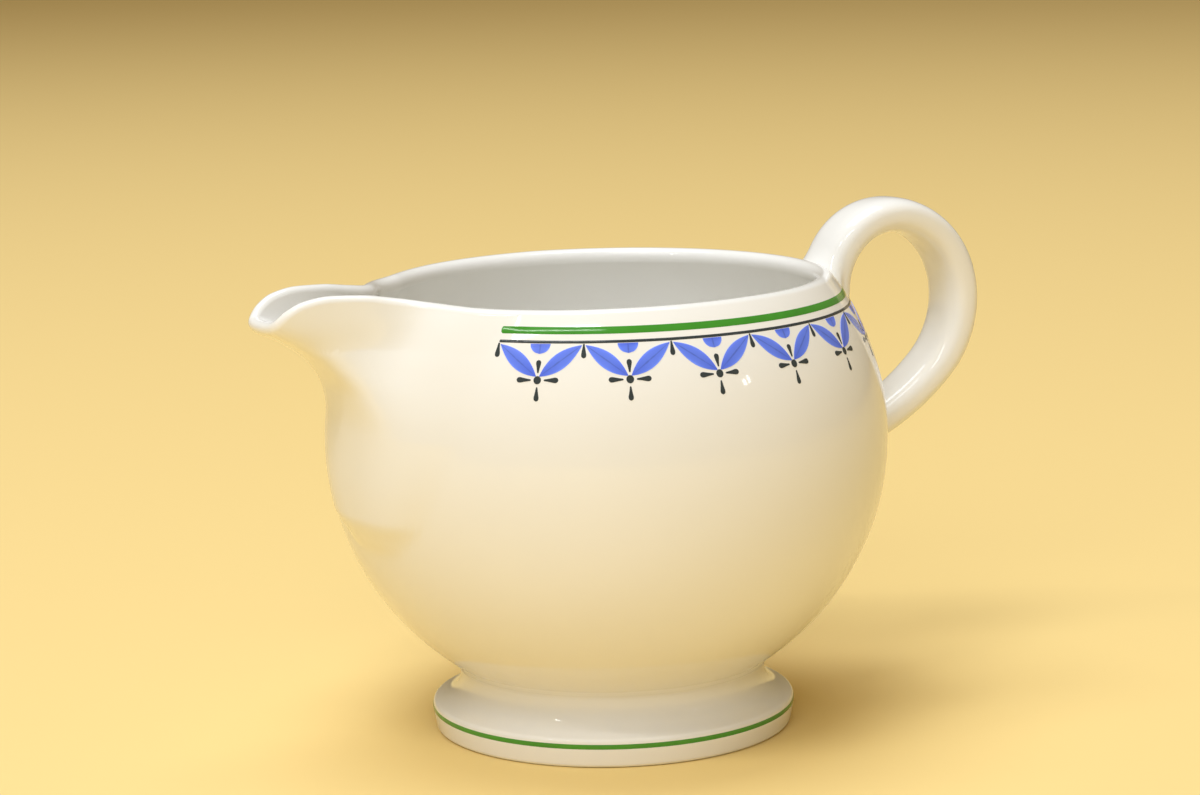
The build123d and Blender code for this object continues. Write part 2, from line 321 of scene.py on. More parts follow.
class Vessel:
    """The outside of bowl and spout as one blended surface round Z."""

    def __init__(self, sizes):
        self.radius = sizes.bowl_radius / MM
        self.wall = sizes.wall / MM
        self.lip_wall = sizes.lip_wall / MM
        self.rim = sizes.rim_height / MM
        self.underside = sizes.underside / MM

    def bowl_radius(self, height):
        """Radius of the bowl alone."""
        share = (height - BOWL_CENTRE_Z) / BOWL_HALF_HEIGHT
        return self.radius * np.sqrt(np.clip(1 - share**2, TINY, 1))

    def spout_section(self, across, height):
        """How far the spout reaches from the axis, at a distance across and a height."""
        knots = SPOUT_STATIONS[:, 0]
        tongue, half_width, lip, lip_width = [
            smooth_curve(knots, SPOUT_STATIONS[:, column], height) for column in (1, 2, 3, 4)
        ]
        across = np.abs(across)
        level = np.clip(1 - (across / half_width) ** TONGUE_SQUARENESS, 0, 1)
        crown = (tongue - SPOUT_CENTRE_X) * level ** (1 / TONGUE_SQUARENESS)
        past_root = np.clip(across - half_width, 0, None) * PAST_ROOT_FALL
        share = across / lip_width
        nose = lip * (1 - LIP_NOSE * np.clip(share, 0, 1) ** 2) / (1 + share**LIP_SHARPNESS)
        return SPOUT_CENTRE_X + crown - past_root + nose

    def spout_radius(self, angle, height):
        """Radius of the spout alone, found by halving."""
        near, far = np.full(angle.shape, SPOUT_NEAREST), np.full(angle.shape, SPOUT_FURTHEST)
        for _ in range(RADIUS_HALVINGS):
            middle = (near + far) / 2
            inside = middle * np.cos(angle) < self.spout_section(middle * np.sin(angle), height)
            near, far = np.where(inside, middle, near), np.where(inside, far, middle)
        return (near + far) / 2

    def outer_radius(self, angle, height):
        """Radius of the outside, the spout blended into the bowl."""
        angle, height = np.broadcast_arrays(np.asarray(angle, float), np.asarray(height, float))
        bowl = self.bowl_radius(height)
        reach = np.clip(angle, -SPOUT_REACH_ANGLE, SPOUT_REACH_ANGLE)
        there = (np.abs(angle) < SPOUT_REACH_ANGLE) & (height > SPOUT_STATIONS[0, 0])
        turn = np.interp(height, TONGUE_TURN_FADES, (TONGUE_TURN, 0))
        spout = np.where(there, self.spout_radius(reach - turn, height), 0)
        blend = np.interp(height, BLEND_HEIGHTS, BLEND_WIDTHS)
        share = np.clip(0.5 + 0.5 * (spout - bowl) / blend, 0, 1)
        return bowl * (1 - share) + spout * share + blend * share * (1 - share)

    def outside(self, angle, height):
        """Points on the outside."""
        radius = self.outer_radius(angle, height)
        return np.stack([-radius * np.cos(angle), -radius * np.sin(angle), radius * 0 + height], -1)

    def normal(self, angle, height):
        """Outward normals of the outside."""
        along = self.outside(angle + SMALL_TURN, height) - self.outside(angle - SMALL_TURN, height)
        up = self.outside(angle, height + SMALL_RISE) - self.outside(angle, height - SMALL_RISE)
        normal = np.cross(along, up)
        return normal / np.linalg.norm(normal, axis=-1, keepdims=True)

    def thickness(self, angle, height):
        """The wall, which thins as the lip is pulled out."""
        reach = self.outer_radius(angle, height) - self.bowl_radius(height)
        pulled = np.clip((reach - PULL_START) / PULL_RUN, 0, 1)
        return self.wall + (self.lip_wall - self.wall) * pulled

    def edge_height(self, angle):
        """Height at which the outside turns into the rounded edge."""
        low, high = np.full(angle.shape, EDGE_LOWEST), np.full(angle.shape, EDGE_HIGHEST)
        for _ in range(EDGE_HALVINGS):
            height = (low + high) / 2
            normal = self.normal(angle, height)
            half = self.thickness(angle, height) / 2
            crest = height + half * (1 - normal[..., 2])
            crest_x = self.outside(angle, height)[..., 0] - half * normal[..., 0]
            line = smooth_curve(EDGE_LINE[:, 0], EDGE_LINE[:, 1], crest_x)
            under = crest < line + self.rim - EDGE_LINE[-1, 1]
            low, high = np.where(under, height, low), np.where(under, high, height)
        return (low + high) / 2


JOINT_ANGLE = math.radians(34)
JOINT_LOW_Z = 29.5
JOINT_HIGH_Z = 52.0
ROWS_BELOW_JOINT = 34
ROWS_ABOVE_JOINT = 72
ROW_CROWDING = 1.25
RIM_STEPS = 12

# Columns round half the vessel: the angle in degrees at which each stretch ends, and its columns
COLUMN_STRETCHES = ((4, 10), (16, 62), (34, 36), (56, 26), (180, 84))


def column_angles():
    """Angles round the vessel from -180 to 180 degrees, close together on the spout."""
    half = np.zeros(1)
    for end, columns in COLUMN_STRETCHES:
        half = np.concatenate([half, np.linspace(half[-1], end, columns)[1:]])
    return np.radians(np.concatenate([-half[:0:-1], half[:-1]]))


def shell_rows(form, angle):
    """Rows of points and normals round the wall: up the outside, over the edge, down the inside."""
    inside_joint = np.clip(np.abs(angle) / JOINT_ANGLE, 0, 1)
    joint = JOINT_HIGH_Z - (JOINT_HIGH_Z - JOINT_LOW_Z) * np.cos(math.pi / 2 * inside_joint) ** 2
    top = form.edge_height(angle)
    lower = np.linspace(0, 1, ROWS_BELOW_JOINT, endpoint=False)[:, None] ** ROW_CROWDING
    upper = np.linspace(0, 1, ROWS_ABOVE_JOINT)[:, None]
    below = form.underside + lower * (joint - form.underside)
    height = np.concatenate([below, joint + upper * (top - joint)])
    angles = np.broadcast_to(angle, height.shape)
    outer = form.outside(angles, height)
    normal = form.normal(angles, height)
    wall = form.thickness(angles, height)[..., None]
    inner = outer - normal * wall

    # Full-round edge between the last outer and the last inner row
    edge_run = np.roll(outer[-1], -1, 0) - np.roll(outer[-1], 1, 0)
    up = np.cross(edge_run, normal[-1])
    up /= np.linalg.norm(up, axis=-1, keepdims=True)
    up *= np.sign(up[:, 2:3])
    turn = np.linspace(0, math.pi, RIM_STEPS + 1)[1:-1, None, None]
    rim_normal = np.cos(turn) * normal[-1] + np.sin(turn) * up
    rim = outer[-1] - normal[-1] * wall[-1] / 2 + rim_normal * wall[-1] / 2
    points = np.concatenate([outer, rim, inner[::-1]])
    return points, np.concatenate([normal, rim_normal, -normal[::-1]])


def wall_faces(rows, on_spout):
    """Faces of the wall's rows, shared out between the bowl and the spout."""
    columns = len(on_spout)
    faces = {"bowl": [], "spout": []}
    for number, face in enumerate(loft_faces(rows, columns)):
        row, column = divmod(number, columns)
        level = min(row, rows - 2 - row)
        owner = "spout" if on_spout[column] and level >= ROWS_BELOW_JOINT else "bowl"
        faces[owner].append(face)
    return faces


def crossing_faces(rows, columns, first, last):
    """Faces across the wall along the joint, from the bowl's side."""

    def face(*places):
        return tuple(row * columns + column for row, column in places)

    far = rows - 1
    low = ROWS_BELOW_JOINT
    faces = []
    for column in range(first, last):
        after = column + 1
        faces.append(face((low, column), (low, after), (far - low, after), (far - low, column)))
    for row in range(low, rows // 2 - 1):
        after = row + 1
        faces.append(face((row, last), (after, last), (far - after, last), (far - row, last)))
        faces.append(face((after, first), (row, first), (far - row, first), (far - after, first)))
    if rows % 2:
        middle = rows // 2
        faces.append(face((middle - 1, last), (middle, last), (middle + 1, last)))
        faces.append(face((middle, first), (middle - 1, first), (middle + 1, first)))
    return faces


def shell_piece(name, points, normals, smooth, flat, material):
    """One closed piece of the shell, shaded smoothly on into its neighbour."""
    faces = smooth + flat
    used = np.unique(np.concatenate([np.ravel(face) for face in faces]))
    order = np.full(len(points), -1)
    order[used] = np.arange(len(used))
    local = [[order[corner] for corner in face] for face in faces]
    mesh = mesh_from(name + "_glazed", points[used], local, material)
    corners = [normals[corner] for face in smooth for corner in face]
    for number, face in enumerate(flat, len(smooth)):
        corners += [np.array(mesh.polygons[number].normal)] * len(face)
    mesh.normals_split_custom_set(np.array(corners).tolist())
    return new_object(name + "_glazed", mesh)


def vessel_pieces(sizes, material):
    """Builds the blended shell once, and parts it into a closed bowl and a closed spout."""
    form = Vessel(sizes)
    angle = column_angles()
    columns = len(angle)
    ring, ring_normals = shell_rows(form, angle)
    rows = len(ring)
    on_spout = (angle > -JOINT_ANGLE - TINY) & (angle < JOINT_ANGLE - TINY)
    spout_columns = np.flatnonzero(on_spout)
    smooth = wall_faces(rows, on_spout)
    crossing = crossing_faces(rows, columns, spout_columns[0], spout_columns[-1] + 1)

    # A flat underside and a flat floor close the bowl
    under, floor = rows * columns, rows * columns + 1
    centres = [(0, 0, form.underside), (0, 0, ring[-1, 0, 2])]
    points = np.concatenate([ring.reshape(-1, 3), centres])
    normals = np.concatenate([ring_normals.reshape(-1, 3), [(0, 0, -1), (0, 0, 1)]])
    last_row = (rows - 1) * columns
    caps = [(under, (column + 1) % columns, column) for column in range(columns)]
    caps += [(floor, last_row + column, last_row + (column + 1) % columns) for column in range(columns)]
    flat = {"bowl": crossing + caps, "spout": [face[::-1] for face in crossing]}
    return {
        name: shell_piece(name, points, normals, smooth[name], flat[name], material) for name in smooth
    }


# ---------------------------------------------------------------- handle


# The strap's route in the XZ plane: tangent bends, each a radius and a turn in degrees
HANDLE_START = (44.0, 71.3)
HANDLE_START_HEADING = 88.5
HANDLE_ROOT_RADIUS = 8.0
HANDLE_ROOT_TURN = 48.0
HANDLE_BENDS = [(12.2, 107.7), (15.7, 70.0), (16.9, 46.2), (43.0, 20.8)]
HANDLE_TAIL = 7.5
HANDLE_STEP = 0.4
STRAP_ROUNDNESS = 2.7
STRAP_COLUMNS = 56
ROOT_DEPTH = 0.8

# How far off the bowl the strap starts to flare: its upper face and its lower face at the upper root,
# and all round at the lower root
FLARE_OVER, FLARE_UNDER, FLARE_LOW = 5.0, 2.4, 2.6


def handle_route():
    """Points and headings along the handle, from one root to the other."""
    heading = math.radians(HANDLE_START_HEADING)
    turn = math.radians(HANDLE_ROOT_TURN)
    x = HANDLE_START[0] - HANDLE_ROOT_RADIUS * (math.sin(heading) - math.sin(heading - turn))
    z = HANDLE_START[1] + HANDLE_ROOT_RADIUS * (math.cos(heading) - math.cos(heading - turn))
    heading -= turn
    route = [(x, z, heading)]
    stretches = [(HANDLE_ROOT_RADIUS, turn)]
    stretches += [(radius, -math.radians(angle)) for radius, angle in HANDLE_BENDS]
    stretches.append((None, HANDLE_TAIL))
    for radius, amount in stretches:
        run = amount if radius is None else radius * abs(amount)
        steps = max(4, round(run / HANDLE_STEP))
        for _ in range(steps):
            bend = 0 if radius is None else amount / steps
            x += run / steps * math.cos(heading + bend / 2)
            z += run / steps * math.sin(heading + bend / 2)
            heading += bend
            route.append((x, z, heading))
    return np.array(route)


def bowl_gap(form, place):
    """How far places stand off the bowl, and which way is straight off it."""
    radius = np.hypot(place[..., 0], place[..., 1])
    lift = place[..., 2] - BOWL_CENTRE_Z
    value = (radius / form.radius) ** 2 + (lift / BOWL_HALF_HEIGHT) ** 2 - 1
    slope_r = 2 * radius / form.radius**2
    slope_z = 2 * lift / BOWL_HALF_HEIGHT**2
    size = np.hypot(slope_r, slope_z)
    x, y = [slope_r * place[..., axis] / radius / size for axis in (0, 1)]
    return value / size, np.stack([x, y, slope_z / size], -1)


def handle_points(sizes):
    """The strap's cross-sections, flared where they meet the bowl."""
    form = Vessel(sizes)
    route = handle_route()
    turn = np.linspace(0, 2 * math.pi, STRAP_COLUMNS, endpoint=False)
    power = 2 / STRAP_ROUNDNESS
    thick = np.sign(np.cos(turn)) * np.abs(np.cos(turn)) ** power * sizes.strap_thickness / MM / 2
    wide = np.sign(np.sin(turn)) * np.abs(np.sin(turn)) ** power * sizes.strap_width / MM / 2
    x, z, heading = route.T
    off_x, off_z = -np.sin(heading), np.cos(heading)
    centre = np.stack([x, x * 0, z], -1)[:, None, :]
    wide = np.repeat(wide[None], len(route), 0)
    offset = np.stack([off_x[:, None] * thick, wide, off_z[:, None] * thick], -1)
    points = centre + offset
    over = (turn < math.pi / 2) | (turn > math.pi * 1.5)
    upper = (np.arange(len(route)) < len(route) / 2)[:, None]
    reach = np.where(upper, np.where(over, FLARE_OVER, FLARE_UNDER), FLARE_LOW)
    gap, _ = bowl_gap(form, points)
    closeness = np.clip(1 - gap / reach, 0, 1)
    push = reach * (1 - np.sqrt(np.clip(1 - closeness**2, 0, 1)))
    away = offset / np.linalg.norm(offset, axis=-1, keepdims=True)
    points = points + away * push[..., None]
    gap, direction = bowl_gap(form, points)
    too_deep = np.clip(-ROOT_DEPTH - gap, 0, None)
    return points + direction * too_deep[..., None]


# ---------------------------------------------------------------- painted border


def on_bowl(form, across, height, lift):
    """Points on the bowl that faces -X, at distances across and heights, lifted off the glaze."""
    radius = form.bowl_radius(height)
    normal_r = radius / form.radius**2
    normal_z = (height - BOWL_CENTRE_Z) / BOWL_HALF_HEIGHT**2
    size = np.hypot(normal_r, normal_z)
    radius = radius + lift * normal_r / size
    angle = np.arcsin(np.clip(across / radius, -1, 1))
    height = height + lift * normal_z / size
    return np.stack([-radius * np.cos(angle), -radius * np.sin(angle), height], -1)


def settle(form, points):
    """Moves paint that was laid on the plain bowl out onto the blended shell."""
    points = np.asarray(points, float)
    radius = np.hypot(points[:, 0], points[:, 1])
    angle = np.arctan2(-points[:, 1], -points[:, 0])
    swell = form.outer_radius(angle, points[:, 2]) - form.bowl_radius(points[:, 2])
    share = 1 + swell / radius
    return np.stack([points[:, 0] * share, points[:, 1] * share, points[:, 2]], -1)


class Brush:
    """Collects closed strokes of paint, each a grid of points laid on the bowl."""

    def __init__(self, form, lift):
        self.form, self.lift = form, lift
        self.points, self.faces, self.map = [], [], []

    def stroke(self, across, height, along, beside):
        """One stroke from a grid of places, and where each lies along and beside its middle."""
        rows, columns = across.shape
        count = rows * columns
        base = sum(len(block) for block in self.points)
        top = on_bowl(self.form, across, height, self.lift).reshape(-1, 3)
        bottom = on_bowl(self.form, across, height, -PAINT_ROOT).reshape(-1, 3)
        sheet = np.array(loft_faces(rows, columns, close=False))
        border = list(range(columns))
        border += [row * columns + columns - 1 for row in range(1, rows)]
        border += [(rows - 1) * columns + column for column in range(columns - 2, -1, -1)]
        border += [row * columns for row in range(rows - 2, 0, -1)]
        border = np.array(border)
        side = np.stack([border, border + count, np.roll(border, -1) + count, np.roll(border, -1)], -1)
        block = np.concatenate([top, bottom])
        faces = np.concatenate([sheet, sheet[:, ::-1] + count, side])
        faces = np.array(outward(block, faces.tolist()))
        self.points.append(block)
        self.faces.append(faces + base)
        places = np.stack([along.ravel(), beside.ravel()], -1)
        self.map.append(np.concatenate([places, places]))

    def mesh(self, name, material):
        """All strokes as one mesh, with the places as its UV map."""
        mesh = mesh_from(name, np.concatenate(self.points), np.concatenate(self.faces), material)
        corner = np.empty(len(mesh.loops), int)
        mesh.loops.foreach_get("vertex_index", corner)
        layer = mesh.uv_layers.new(name="stroke")
        layer.uv.foreach_set("vector", np.concatenate(self.map)[corner].ravel())
        mesh.set_sharp_from_angle(angle=STROKE_SHARP)
        return mesh


def stroke_grid(rows, columns):
    """Places along (0 to 1) and beside (-1 to 1) for one stroke."""
    along, beside = np.meshgrid(np.linspace(0, 1, rows), np.linspace(-1, 1, columns), indexing="ij")
    return along, beside


def line_stroke(brush, start, heading, run, half_width):
    """A stroke of varying width from a start point along a heading, angle from straight up."""
    along, beside = stroke_grid(*LINE_GRID)
    half = half_width(along)
    dx, dz = math.sin(heading), math.cos(heading)
    across = start[0] + dx * along * run + dz * beside * half
    height = start[1] + dz * along * run - dx * beside * half
    brush.stroke(across, height, along, beside * 0.5 + 0.5)


# How far the paint runs into the glaze, and the angles past which its edges are sharp
PAINT_ROOT = 0.12
STROKE_SHARP = math.radians(40)
BAND_SHARP = math.radians(60)

# Rows and columns of points in a line stroke, a half round and a dot
LINE_GRID = (22, 9)
HALF_DOT_GRID = (9, 25)
DOT_GRID = (15, 15)

# Sizes of the border
FLOWER_Z = 66.5
FLOWER_DOT_RADIUS = 0.6
LEAF_LENGTH = 7.75
LEAF_HALF_WIDTH = 1.22
LEAF_SLOPE = 54.0
LEAF_GAP = 0.35
BORDER_LINE_Z = 72.1
BORDER_LINE_HEIGHT = 0.42
RIM_BAND_Z = 73.75
RIM_BAND_HEIGHT = 1.05
STROKE_GAP = 0.42
# Half width of a stroke's round end, and the lengths of those above, beside and below the dot
STROKE_HALF_WIDTH = 0.4
STROKE_LENGTHS = (1.95, 2.35, 2.15, 2.35)
DROP_LENGTH = 2.15
DROP_GAP = 0.02
HALF_DOT_Z = 71.82
HALF_DOT_HALF_WIDTH = 1.62
HALF_DOT_DEPTH = 1.45

# A leaf's fullest place and how blunt its points are
LEAF_FULLEST, LEAF_BLUNTNESS = 0.96, 0.86

# A brush drop: its width where it starts, where it is fullest and how it swells, then the shares of its
# length that its round end and its round start take
DROP_FINE, DROP_FULLEST, DROP_SWELL = 0.3, 0.72, 1.3
DROP_END, DROP_START = 0.2, 0.06

# A band: degrees from one point to the next, the degrees of the points that round its ends, where its
# even points start, the share of its height that the rounding takes, and its bevel
BAND_STEP = 1.2
BAND_END_STEPS = (0, 0.04, 0.12, 0.25, 0.4)
BAND_END = 0.8
BAND_ROUNDING = 0.3
BAND_BEVEL, BAND_EDGE_LIFT = 0.82, 0.35


def leaf_width(along):
    """A pointed leaf, fullest a little above its middle."""
    return LEAF_HALF_WIDTH * np.clip(np.sin(math.pi * along**LEAF_FULLEST), 0.02, 1) ** LEAF_BLUNTNESS


def drop_width(along):
    """A brush drop, fine where it starts and round where it ends."""
    swell = DROP_FINE + (1 - DROP_FINE) * np.clip(along / DROP_FULLEST, 0, 1) ** DROP_SWELL
    end = np.sqrt(np.clip(1 - ((along - 1 + DROP_END) / DROP_END).clip(0, 1) ** 2, 0.003, 1))
    start = np.sqrt(np.clip(1 - ((DROP_START - along) / DROP_START).clip(0, 1) ** 2, 0.01, 1))
    return STROKE_HALF_WIDTH * swell * end * start


def leaf_strokes(brush):
    """Two leaves that rise from the flower in a V."""
    for lean in (-1, 1):
        heading = math.radians(LEAF_SLOPE) * lean
        start = (LEAF_GAP * math.sin(heading), FLOWER_Z + LEAF_GAP * (1 + math.cos(heading)))
        line_stroke(brush, start, heading, LEAF_LENGTH, leaf_width)


def half_dot_strokes(brush):
    """A half round that hangs from the line."""
    along, beside = stroke_grid(*HALF_DOT_GRID)
    half = HALF_DOT_HALF_WIDTH * np.sqrt(np.clip(1 - along**2, 0.004, 1))
    brush.stroke(beside * half, HALF_DOT_Z - along * HALF_DOT_DEPTH, along, beside * 0.5 + 0.5)


def flower_strokes(brush):
    """A dot with four short drops round it."""
    along, beside = stroke_grid(*DOT_GRID)
    up = along * 2 - 1
    across = beside * np.sqrt(1 - up * up / 2) * FLOWER_DOT_RADIUS
    height = FLOWER_Z + up * np.sqrt(1 - beside * beside / 2) * FLOWER_DOT_RADIUS
    brush.stroke(across, height, along, beside * 0.5 + 0.5)
    gap = FLOWER_DOT_RADIUS + STROKE_GAP
    for quarter, run in enumerate(STROKE_LENGTHS):
        heading = quarter * math.pi / 2
        start = (gap * math.sin(heading), FLOWER_Z + gap * math.cos(heading))
        line_stroke(brush, start, heading, run, drop_width)


def drop_strokes(brush):
    """One drop that hangs from the line."""
    start = (0, BORDER_LINE_Z - BORDER_LINE_HEIGHT / 2 - DROP_GAP)
    line_stroke(brush, start, math.pi, DROP_LENGTH, drop_width)


def border_tree():
    """Geometry nodes that set a motif out round the bowl at an even pitch."""
    tree = bpy.data.node_groups.new("set_out_round_bowl", "GeometryNodeTree")
    face = tree.interface
    face.new_socket("Motif", in_out="INPUT", socket_type="NodeSocketGeometry")
    for name, kind in (("Count", "Int"), ("Start", "Float"), ("Pitch", "Float"), ("Seed", "Int")):
        face.new_socket(name, in_out="INPUT", socket_type="NodeSocket" + kind)
    face.new_socket("Enamel", in_out="INPUT", socket_type="NodeSocketMaterial")
    face.new_socket("Border", in_out="OUTPUT", socket_type="NodeSocketGeometry")
    given = add_node(tree, "NodeGroupInput").outputs
    places = add_node(tree, "GeometryNodeMeshLine", {"Count": given["Count"], "Offset": (0, 0, 0)})
    number = add_node(tree, "GeometryNodeInputIndex")
    angle = add_node(
        tree,
        "ShaderNodeMath",
        {0: number.outputs[0], 1: given["Pitch"], 2: given["Start"]},
        operation="MULTIPLY_ADD",
    )
    about_z = add_node(tree, "ShaderNodeCombineXYZ", {"Z": angle.outputs[0]})
    rotation = add_node(tree, "FunctionNodeEulerToRotation", {0: about_z.outputs[0]})
    spread = add_node(
        tree,
        "GeometryNodeInstanceOnPoints",
        {"Points": places.outputs[0], "Instance": given["Motif"], "Rotation": rotation.outputs[0]},
    )
    chance = {"Min": 0.0, "Max": 1.0, "Seed": given["Seed"]}
    shade = add_node(tree, "FunctionNodeRandomValue", chance, data_type="FLOAT")
    toned = add_node(
        tree,
        "GeometryNodeStoreNamedAttribute",
        {"Geometry": spread.outputs[0], "Name": "tone"},
        data_type="FLOAT",
        domain="INSTANCE",
    )
    value = [socket for socket in toned.inputs if socket.name == "Value" and socket.enabled][0]
    tree.links.new([socket for socket in shade.outputs if socket.enabled][0], value)
    solid = add_node(tree, "GeometryNodeRealizeInstances", {"Geometry": toned.outputs[0]})
    enamelled = add_node(
        tree, "GeometryNodeSetMaterial", {"Geometry": solid.outputs[0], "Material": given["Enamel"]}
    )
    add_node(tree, "NodeGroupOutput", {"Border": enamelled.outputs[0]})
    return tree


def set_out(form, tree, name, mesh, inputs):
    """Runs the border tree on a motif and keeps the result as a plain mesh."""
    maker = new_object(name + "_maker", mesh)
    modifier = maker.modifiers.new("set_out", "NODES")
    modifier.node_group = tree
    for item in tree.interface.items_tree:
        if item.item_type == "SOCKET" and item.in_out == "INPUT" and item.name in inputs:
            modifier[item.identifier] = inputs[item.name]
    graph = bpy.context.evaluated_depsgraph_get()
    result = bpy.data.meshes.new_from_object(maker.evaluated_get(graph))
    result.name = name
    bpy.data.objects.remove(maker)
    places = np.empty(len(result.vertices) * 3)
    result.vertices.foreach_get("co", places)
    result.vertices.foreach_set("co", (settle(form, places.reshape(-1, 3) / MM) * MM).ravel())
    result.update()
    return new_object(name, result)


def band_points(form, start, span, centre_z, band_height, lift):
    """A band of paint as a closed bar round part of the bowl."""
    steps = round(math.degrees(span) / BAND_STEP)
    rounding = np.radians(BAND_END_STEPS)
    stop = start + span
    middle = np.linspace(start + math.radians(BAND_END), stop - math.radians(BAND_END), steps)
    angle = np.concatenate([start + rounding, middle, stop - rounding[::-1]])
    end = np.minimum(angle - start, stop - angle) * form.radius / (band_height * BAND_ROUNDING)
    half = band_height / 2 * np.sqrt(np.clip(1 - (1 - np.clip(end, 0, 1)) ** 2, 0.3, 1))
    edge = BAND_EDGE_LIFT * lift
    section = [(-1, -PAINT_ROOT), (-1, edge), (-BAND_BEVEL, lift)]
    section += [(-beside, depth) for beside, depth in section[::-1]]
    points = []
    for beside, depth in section:
        height = centre_z + beside * half
        flat = on_bowl(form, np.zeros_like(height), height, depth)
        radius = -flat[:, 0]
        points.append(np.stack([-radius * np.cos(angle), -radius * np.sin(angle), flat[:, 2]], -1))
    count = len(section)
    points = np.stack(points, 1).reshape(-1, 3)
    faces = loft_faces(len(angle), count)
    last = (len(angle) - 1) * count
    faces += [tuple(range(count)), tuple(range(last + count - 1, last - 1, -1))]
    return points, outward(points, faces)


# ---------------------------------------------------------------- materials


def glazed_porcelain(colours):
    """Cast porcelain under a clear feldspar glaze: a hard, clean gloss over an ivory body, with slow
    waves in the glaze about 14 mm apart and the faintest mottling of tone, about 18 mm across."""
    material, tree = new_material("glazed_porcelain")
    where = add_node(tree, "ShaderNodeTexCoord").outputs["Object"]
    mottle = add_node(tree, "ShaderNodeTexNoise", {"Vector": where, "Scale": 55.0, "Detail": 3.0})
    dull, full = (*[c * 0.975 for c in colours.porcelain], 1), (*colours.porcelain, 1)
    tones = {"Factor": mottle.outputs["Fac"], 6: dull, 7: full}
    body = add_node(tree, "ShaderNodeMix", tones, data_type="RGBA")
    waves = add_node(tree, "ShaderNodeTexNoise", {"Vector": where, "Scale": 70.0, "Detail": 1.0})
    ripple = add_node(
        tree, "ShaderNodeBump", {"Height": waves.outputs["Fac"], "Strength": 0.05, "Distance": 0.0006}
    )
    polish = add_node(
        tree,
        "ShaderNodeMapRange",
        {"Value": mottle.outputs["Fac"], "To Min": 0.04, "To Max": 0.08},
    )
    shader = add_node(
        tree,
        "ShaderNodeBsdfPrincipled",
        {
            "Base Color": body.outputs[2],
            "Roughness": polish.outputs[0],
            "Normal": ripple.outputs[0],
            "IOR": 1.52,
        },
    )
    finish_material(tree, shader)
    return material


def bare_biscuit(colours):
    """Unglazed porcelain ground flat where the foot stood in the kiln: chalky and dry, its grain drawn at
    0.4 mm, which is coarser than the real one so that it shows."""
    material, tree = new_material("bare_biscuit")
    where = add_node(tree, "ShaderNodeTexCoord").outputs["Object"]
    grain = add_node(tree, "ShaderNodeTexNoise", {"Vector": where, "Scale": 2500.0, "Detail": 4.0})
    dull, full = (*[c * 0.86 for c in colours.biscuit], 1), (*colours.biscuit, 1)
    tones = {"Factor": grain.outputs["Fac"], 6: dull, 7: full}
    tone = add_node(tree, "ShaderNodeMix", tones, data_type="RGBA")
    rough = add_node(
        tree, "ShaderNodeBump", {"Height": grain.outputs["Fac"], "Strength": 0.35, "Distance": 0.0001}
    )
    shader = add_node(
        tree,
        "ShaderNodeBsdfPrincipled",
        {"Base Color": tone.outputs[2], "Roughness": 0.85, "Normal": rough.outputs[0]},
    )
    finish_material(tree, shader)
    return material


def line_enamel(name, shade, depth, speckle):
    """Overglaze enamel laid on with a banding brush and fired on: glossy, with the paint a little
    thinner in places, so its tone drifts along the line, speckle times in a metre."""
    material, tree = new_material(name)
    where = add_node(tree, "ShaderNodeTexCoord").outputs["Object"]
    drift = add_node(tree, "ShaderNodeTexNoise", {"Vector": where, "Scale": speckle, "Detail": 3.0})
    deep, thin = (*[c * depth for c in shade], 1), (*[min(1, c * (2 - depth)) for c in shade], 1)
    tones = {"Factor": drift.outputs["Fac"], 6: deep, 7: thin}
    tone = add_node(tree, "ShaderNodeMix", tones, data_type="RGBA")
    shader = add_node(
        tree,
        "ShaderNodeBsdfPrincipled",
        {"Base Color": tone.outputs[2], "Roughness": 0.14, "IOR": 1.55},
    )
    finish_material(tree, shader)
    return material


# How deep the blue wash is from its middle (0) to its edge (1), and how much red, green and blue are
# left where the brush first touched
WASH_STEPS = ((0.10, 0.62), (0.24, 0.92), (0.78, 1.0), (0.98, 1.12), (1.0, 1.35))
WASH_START = (0.45, 0.5, 0.78)


